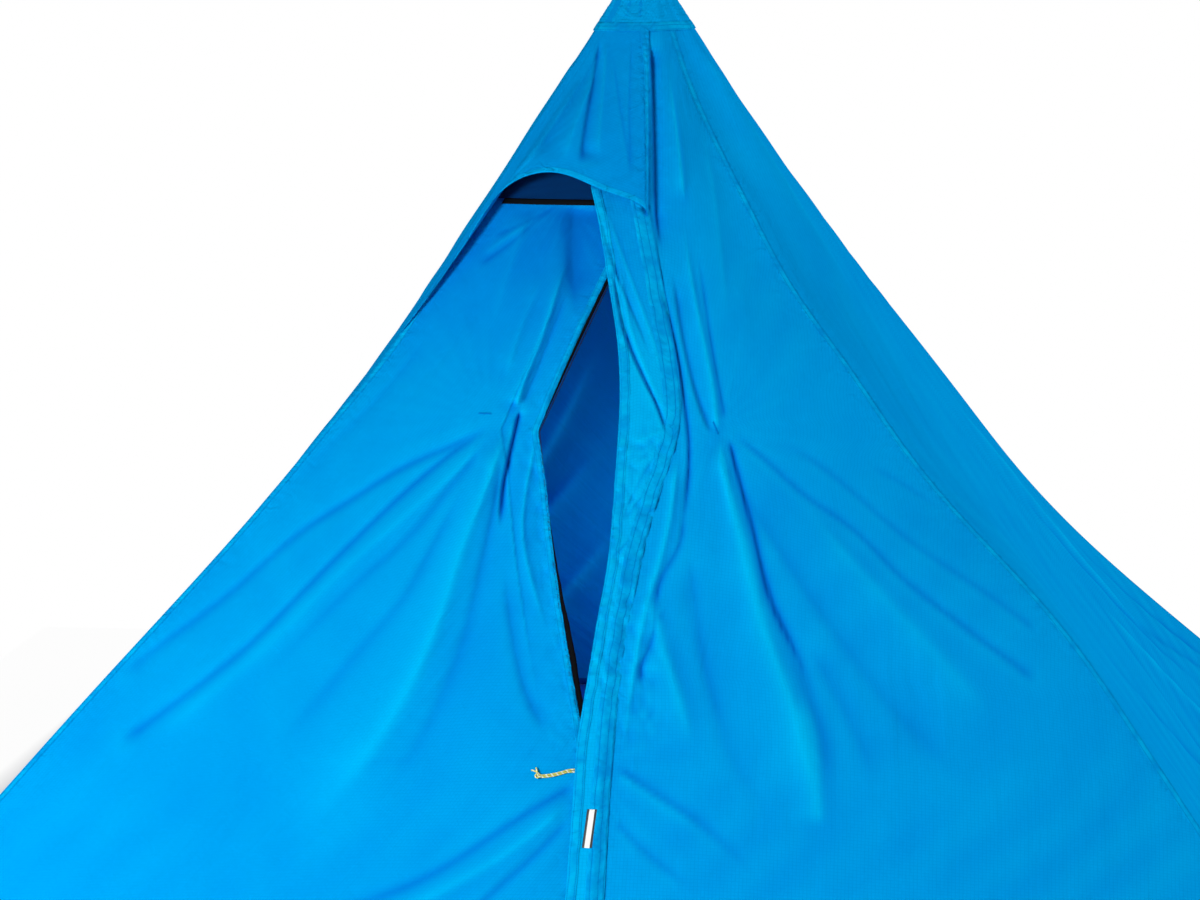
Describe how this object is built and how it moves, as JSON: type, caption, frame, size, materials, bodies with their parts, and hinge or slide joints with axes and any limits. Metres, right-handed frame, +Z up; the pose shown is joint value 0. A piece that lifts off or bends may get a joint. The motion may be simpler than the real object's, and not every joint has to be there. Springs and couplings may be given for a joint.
{
  "type": "pyramid tent",
  "caption": "Floorless single-pole pyramid tent with a zipped front door, storm flap, hooded vent, stake loops and an adjustable centre pole.",
  "frame": {"origin": "on the ground under the peak, at the middle of the square base", "axes": "+Z up along the pole; the zipped front faces -Y; +X to the right seen from the front"},
  "size_m": [2.4114, 2.4114, 1.4545],
  "materials": {
    "ripstop": "coated woven nylon, satin",
    "reinforcement": "heavier coated fabric, matt",
    "netting": "fine insect netting",
    "zip_tape": "woven tape, matt",
    "webbing": "woven webbing, matt",
    "reflective": "black webbing with a pale reflective stripe",
    "pull_cord": "braided, with reflective flecks",
    "slider_metal": "black painted zinc",
    "tube_alloy": "anodised, satin",
    "pin_steel": "bright",
    "moulded_plastic": "moulded nylon",
    "rubber": "matt"
  },
  "bodies": {
    "canopy": {"back_panel": "ripstop", "door_panel_left": "ripstop", "front_right_panel": "ripstop", "left_panel": "ripstop", "right_panel": "ripstop", "storm_flap": "ripstop", "vent_hood_panel": "ripstop", "peak_cap": "ripstop", "corner_patch_back_left": "reinforcement", "corner_patch_back_right": "reinforcement", "corner_patch_front_left": "reinforcement", "corner_patch_front_right": "reinforcement", "vent_mesh": "netting", "zip_tape_left": "zip_tape", "zip_tape_right": "zip_tape", "vent_edge_binding": "zip_tape", "hem_tape": "zip_tape", "corner_tab_back_left": "webbing", "corner_tab_back_right": "webbing", "corner_tab_front_left": "webbing", "corner_tab_front_right": "webbing", "hem_loop_back": "webbing", "hem_loop_front": "webbing", "hem_loop_left": "webbing", "hem_loop_right": "webbing", "door_tie_left": "webbing", "door_tie_right": "webbing", "reflective_tab": "reflective", "pole_upper_tube": "tube_alloy", "ladder_lock_back_left": "moulded_plastic", "ladder_lock_back_right": "moulded_plastic", "ladder_lock_front_left": "moulded_plastic", "ladder_lock_front_right": "moulded_plastic", "pole_tip": "moulded_plastic", "hood_stay": "moulded_plastic", "pole_cup": "rubber"},
    "pole_lower": {"pole_lower_tube": "tube_alloy", "pole_foot": "rubber", "lock_collar": "moulded_plastic", "lever_pin": "pin_steel"},
    "lock_lever": {"lock_lever": "moulded_plastic"},
    "upper_slider": {"upper_slider": "slider_metal", "pull_cord": "pull_cord", "pull_knot": "pull_cord"},
    "lower_slider": {"lower_slider": "slider_metal"},
    "loop_front_left": {"stake_loop_front_left": "webbing"},
    "loop_front_right": {"stake_loop_front_right": "webbing"},
    "loop_back_left": {"stake_loop_back_left": "webbing"},
    "loop_back_right": {"stake_loop_back_right": "webbing"}
  },
  "joints": [
    {"name": "pole_length", "type": "slide", "parent": "canopy", "child": "pole_lower", "axis": [0, 0, -1], "range_m": [-0.45, 0.06]},
    {"name": "lock_lever_swing", "type": "hinge", "parent": "pole_lower", "child": "lock_lever", "pos_m": [0.0202, 0, 0.807], "axis": [0, 0, -1], "range_deg": [0, 100]},
    {"name": "upper_slider_run", "type": "slide", "parent": "canopy", "child": "upper_slider", "axis": [0, 0.5765, 0.8171], "range_m": [-0.295, 0.91]},
    {"name": "lower_slider_run", "type": "slide", "parent": "canopy", "child": "lower_slider", "axis": [0, 0.5765, 0.8171], "range_m": [0, 0.29]},
    {"name": "loop_reach_front_left", "type": "slide", "parent": "canopy", "child": "loop_front_left", "axis": [-0.7071, -0.7071, 0], "range_m": [-0.01, 0.045]},
    {"name": "loop_reach_front_right", "type": "slide", "parent": "canopy", "child": "loop_front_right", "axis": [0.7071, -0.7071, 0], "range_m": [-0.01, 0.045]},
    {"name": "loop_reach_back_left", "type": "slide", "parent": "canopy", "child": "loop_back_left", "axis": [-0.7071, 0.7071, 0], "range_m": [-0.01, 0.045]},
    {"name": "loop_reach_back_right", "type": "slide", "parent": "canopy", "child": "loop_back_right", "axis": [0.7071, 0.7071, 0], "range_m": [-0.01, 0.045]}
  ]
}
